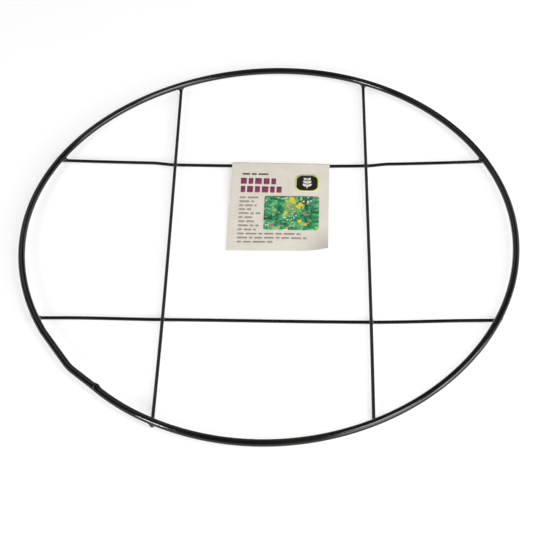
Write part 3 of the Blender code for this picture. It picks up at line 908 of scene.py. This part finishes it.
# A patch with rounded corners: its left, right, top and bottom, and the corners' radius
PICTURE = (28.5, 73.8, 35.8, 72.3, 2.2)
BADGE = (54.4, 72.2, 13.0, 29.6, 5.4)
BADGE_RIM = 1.3                 # how far the rim's piece, which lies under the badge, shows all round it
RIM_CORNER = 6.6
# The badge's sprig. Its heights are over its foot, which lies this far over the badge's bottom.
SPRIG_FOOT = 3.4
LEAF_PAIRS = ((1.2, 5.0), (4.8, 4.5), (8.4, 3.8))           # each pair's height, and its leaves' length
LEAF_TURN = 38.0
LEAF_WIDTH = 2.6
TOP_LEAF = (7.5, 3.3, 2.2)      # height, length and width
LEAF_RUN = (0.02, 0.98, 11)     # first share, last share and number of the places along a leaf
LEAF_ACROSS = 5                 # places across it
LEAF_BLUNT = 0.8                # a power under 1 makes a half wave blunter
STALK_LOW = -0.8
STALK_HIGH = 9.2
STALK_HALF = 0.35
STALK_CORNER = 0.3


def print_place(left, down, height):
    """Points at a height over the card's face."""
    x = left - LABEL_WIDTH / 2
    share = left / LABEL_WIDTH
    y = fold_radius(share) - FOLD_DROP - down
    return card_points(x, y, card_top(share, y) - GLUE_GAP / 2 + height)


def slab(left, down, height):
    """A thin closed patch of print over a grid of places on the card."""
    upper = print_place(left, down, height).reshape(-1, 3)
    lower = print_place(left, down, -INK_DEPTH).reshape(-1, 3)
    return np.vstack([upper, lower]), sheet_faces(*left.shape)


def rounded_patch(first, last, top, bottom, corner, height=INK):
    """A patch with rounded corners, between two places along the card and two down it."""
    corner = min(corner, (last - first) / 2, (bottom - top) / 2)
    bend = corner * (1 - np.cos(np.radians(np.linspace(*CORNER_BEND))))
    body = np.linspace(first + corner, last - corner, max(2, int((last - first) / PRINT_STEP) + 1))[1:-1]
    left = np.concatenate([first + bend, body, (last - bend)[::-1]])
    near = np.minimum(np.minimum(left - first, last - left), corner)
    half = (bottom - top) / 2 - corner + np.sqrt(np.maximum(corner ** 2 - (corner - near) ** 2, 0.0))
    share = np.linspace(-1.0, 1.0, max(3, int((bottom - top) / PRINT_STEP) + 1))
    down = (top + bottom) / 2 + share[:, None] * half[None]
    return slab(np.broadcast_to(left, down.shape), down, height)


def leaf_patch(left, down, turn, length, width, height):
    """A pointed leaf from its stalk at a place, turned from the way across the card."""
    run = np.linspace(*LEAF_RUN)
    half = width / 2 * np.sin(math.pi * run) ** LEAF_BLUNT
    side = np.linspace(-1.0, 1.0, LEAF_ACROSS)[:, None] * half[None]
    ahead = np.broadcast_to(run * length, side.shape)
    way = math.radians(turn)
    across = left + ahead * math.cos(way) - side * math.sin(way)
    deep = down - ahead * math.sin(way) - side * math.cos(way)
    return slab(across, deep, height)


def print_piece(name, patches, material):
    """Patches of print in one colour, as one piece."""
    points = []
    faces = []
    for made, sides in patches:
        faces += [tuple(index + len(points) for index in face) for face in sides]
        points += made.tolist()
    new_piece(name, points, faces, material, "label")


def word_bars(line, widths, gap, corner):
    """Blank bars spaced like words, of the widths given in turn, along a line of the print."""
    place, last, middle, tall = line
    sizes = itertools.cycle(widths)
    patches = []
    while place < last - gap:
        end = min(place + next(sizes), last)
        patches.append(rounded_patch(place, end, middle - tall / 2, middle + tall / 2, corner))
        place = end + gap
    return patches


def heading_bars():
    patches = []
    for line, widths in zip(HEADING, HEADING_BLOCKS):
        patches += word_bars(line, widths, WORD_GAP, WORD_CORNER)
    return patches


def text_bars():
    patches = []
    for number, end in enumerate(TEXT_ENDS):
        line = (TEXT_LEFT, end, TEXT_FIRST + TEXT_PITCH * number, TEXT_TALL)
        patches += word_bars(line, TEXT_WORDS[number % len(TEXT_WORDS)], TEXT_GAP, WORD_CORNER)
    return patches


def sprig_patches():
    """A plain sprig on the badge: three pairs of leaves and one on top, on a stalk."""
    left, right, _, bottom, _ = BADGE
    middle = (left + right) / 2
    foot = bottom - SPRIG_FOOT
    height = INK * 2
    patches = []
    for rise, length in LEAF_PAIRS:
        for turn in (LEAF_TURN, 180.0 - LEAF_TURN):
            patches.append(leaf_patch(middle, foot - rise, turn, length, LEAF_WIDTH, height))
    rise, length, width = TOP_LEAF
    patches.append(leaf_patch(middle, foot - rise, 90.0, length, width, height))
    stalk = (middle - STALK_HALF, middle + STALK_HALF, foot - STALK_HIGH, foot - STALK_LOW, STALK_CORNER)
    patches.append(rounded_patch(*stalk, height))
    return patches


def make_print():
    small = word_bars(SMALL_LINE, SMALL_WORDS, WORD_GAP, SMALL_CORNER)
    print_piece("print_small_line", small, ink_material("dark_ink", (0.075, 0.065, 0.055)))
    print_piece("print_heading", heading_bars(), ink_material("purple_ink", (0.180, 0.018, 0.080)))
    print_piece("print_text", text_bars(), ink_material("grey_ink", (0.300, 0.270, 0.235)))
    left, right, top, bottom, _ = BADGE
    outline = (left - BADGE_RIM, right + BADGE_RIM, top - BADGE_RIM, bottom + BADGE_RIM)
    rim = [rounded_patch(*outline, RIM_CORNER)]
    print_piece("print_badge_rim", rim, ink_material("yellow_green_ink", (0.570, 0.590, 0.160)))
    tile = [rounded_patch(*BADGE, INK * 1.5)]
    print_piece("print_badge", tile, ink_material("black_ink", (0.008, 0.007, 0.005), 0.02))
    print_piece("print_badge_leaves", sprig_patches(), ink_material("pale_ink", (0.640, 0.620, 0.560)))
    print_piece("print_picture", [rounded_patch(*PICTURE)], picture_material())


# Stage, in metres
FLOOR_HALF = 3.0
CEILING_HALF = 10.0
CEILING_HEIGHT = 2.2
# Camera, glossy and transmission rays see the floor this much brighter than the lamps make it, near the
# object. That rises from this far from the middle, to 1 at the floor's edges.
FLOOR_GLOW = 0.6
GLOW_FROM = 0.4
ROOM_LEVEL = 0.2                # the room's light on the object, where those rays see white

# Lamps, in metres: each one's name, azimuth from +X towards +Y, elevation, width, height and watts
LAMP_DISTANCE = 1.6
LAMPS = (
    ("key", 321.0, 47.0, 0.55, 0.65, 15.0),
    ("front", 348.0, 23.0, 0.65, 0.7, 11.5),
    ("low", 318.0, 16.0, 1.3, 0.6, 20.0),
    ("side", 226.0, 22.0, 0.25, 0.5, 15.0),
    ("right", 45.0, 23.0, 0.7, 0.7, 1.6),
    ("fill", 125.0, 48.0, 1.2, 1.2, 4.0),
)


def level_sheet(name, half, height, material):
    """A level square of the stage."""
    mesh = bpy.data.meshes.new(name)
    corners = [(x, y, height) for x, y in ((-half, -half), (half, -half), (half, half), (-half, half))]
    mesh.from_pydata(corners, [], [(0, 1, 2, 3)])
    mesh.materials.append(material)
    sheet = bpy.data.objects.new(name, mesh)
    bpy.context.scene.collection.objects.link(sheet)


def make_ceiling():
    """The studio's dark ceiling, which the tops of the glossy bars mirror."""
    material, _, shader = new_material("dark_ceiling", (0.05, 0.05, 0.05), 0.9)
    shader.inputs["Specular IOR Level"].default_value = 0.0
    level_sheet("ceiling", CEILING_HALF, CEILING_HEIGHT, material)


def seen(tree):
    """1 for camera, glossy and transmission rays, and 0 for the light that falls on things."""
    path = tree.nodes.new("ShaderNodeLightPath")
    either = combine(tree, "MAXIMUM", path.outputs["Is Camera Ray"], path.outputs["Is Glossy Ray"])
    return combine(tree, "MAXIMUM", either, path.outputs["Is Transmission Ray"])


def make_floor():
    """The pale floor, which camera, glossy and transmission rays see brighter, up to white at its edges."""
    material, tree, shader = new_material("pale_floor", (0.45, 0.45, 0.45), 0.9)
    shader.inputs["Specular IOR Level"].default_value = 0.0
    shader.inputs["Emission Color"].default_value = (1.0, 1.0, 1.0, 1.0)
    away = add_node(tree, "ShaderNodeVectorMath", operation="LENGTH")
    tree.links.new(object_space(tree), away.inputs[0])
    level = map_range(tree, away.outputs["Value"], GLOW_FROM, FLOOR_HALF, FLOOR_GLOW, 1.0)
    tree.links.new(combine(tree, "MULTIPLY", seen(tree), level), shader.inputs["Emission Strength"])
    level_sheet("floor", FLOOR_HALF, 0.0, material)


def make_world():
    """A dim grey room that camera, glossy and transmission rays see as white."""
    world = bpy.data.worlds.new("room")
    world.use_nodes = True
    bpy.context.scene.world = world
    tree = world.node_tree
    background = tree.nodes["Background"]
    background.inputs["Color"].default_value = (1.0, 1.0, 1.0, 1.0)
    level = map_range(tree, seen(tree), 0.0, 1.0, ROOM_LEVEL, 1.0)
    tree.links.new(level, background.inputs["Strength"])


def soft_box(name, azimuth, elevation, width, height, watts):
    """A rectangular lamp that faces the object."""
    lamp = bpy.data.lights.new(name, "AREA")
    lamp.shape = "RECTANGLE"
    lamp.size = width
    lamp.size_y = height
    lamp.energy = watts
    round_angle = math.radians(azimuth)
    up_angle = math.radians(elevation)
    level = math.cos(up_angle)
    out = Vector((math.cos(round_angle) * level, math.sin(round_angle) * level, math.sin(up_angle)))
    holder = bpy.data.objects.new(name, lamp)
    holder.location = out * LAMP_DISTANCE
    holder.rotation_euler = out.to_track_quat("Z", "Y").to_euler()
    bpy.context.scene.collection.objects.link(holder)


# Camera: where it stands round the ring's centre, and how it is turned
FOCAL = 1454.8                  # pixels, in a frame 540 pixels wide
FRAME_WIDTH = 540
SENSOR = 36.0
CAMERA_RISE = 48.14
CAMERA_TURN = 2.82
CAMERA_ROLL = -2.08
CAMERA_DISTANCE = 1167.9
CAMERA_DROP = 0.0236            # the view's axis passes below the ring's centre by this slope
VIEW_REACH = 20.0               # metres


def make_camera():
    rise = math.radians(CAMERA_RISE)
    turn = math.radians(CAMERA_TURN)
    roll = math.radians(CAMERA_ROLL)
    back = np.array([math.sin(turn) * math.cos(rise), -math.cos(turn) * math.cos(rise), math.sin(rise)])
    centre = np.array([0.0, 0.0, RING_Z])
    right = unit(np.cross(-back, (0.0, 0.0, 1.0)))
    ahead = unit(-back - CAMERA_DROP * np.cross(right, -back))
    right = unit(np.cross(ahead, (0.0, 0.0, 1.0)))
    up = np.cross(right, ahead)
    across = math.cos(roll) * right + math.sin(roll) * up
    upward = -math.sin(roll) * right + math.cos(roll) * up
    lens = bpy.data.cameras.new("camera")
    lens.sensor_width = SENSOR
    lens.lens = FOCAL * SENSOR / FRAME_WIDTH
    lens.clip_end = VIEW_REACH
    camera = bpy.data.objects.new("camera", lens)
    bpy.context.scene.collection.objects.link(camera)
    place = to_metres(centre + back * CAMERA_DISTANCE)
    columns = np.column_stack([across, upward, -ahead, place])
    camera.matrix_world = Matrix([*columns.tolist(), [0.0, 0.0, 0.0, 1.0]])
    bpy.context.scene.camera = camera


for node_name in ("ring_rod", "ring_weld"):
    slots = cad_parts[node_name].data.materials
    slots.clear()
    slots.append(STEEL)

make_ring()
for wire in UPPER_WIRES + LOWER_WIRES:
    make_wire_skin(wire)
    make_core(wire)
make_joints()
make_card()
make_print()
make_floor()
make_ceiling()
make_world()
for lamp in LAMPS:
    soft_box(*lamp)
make_camera()
bpy.context.scene.view_settings.view_transform = "Standard"
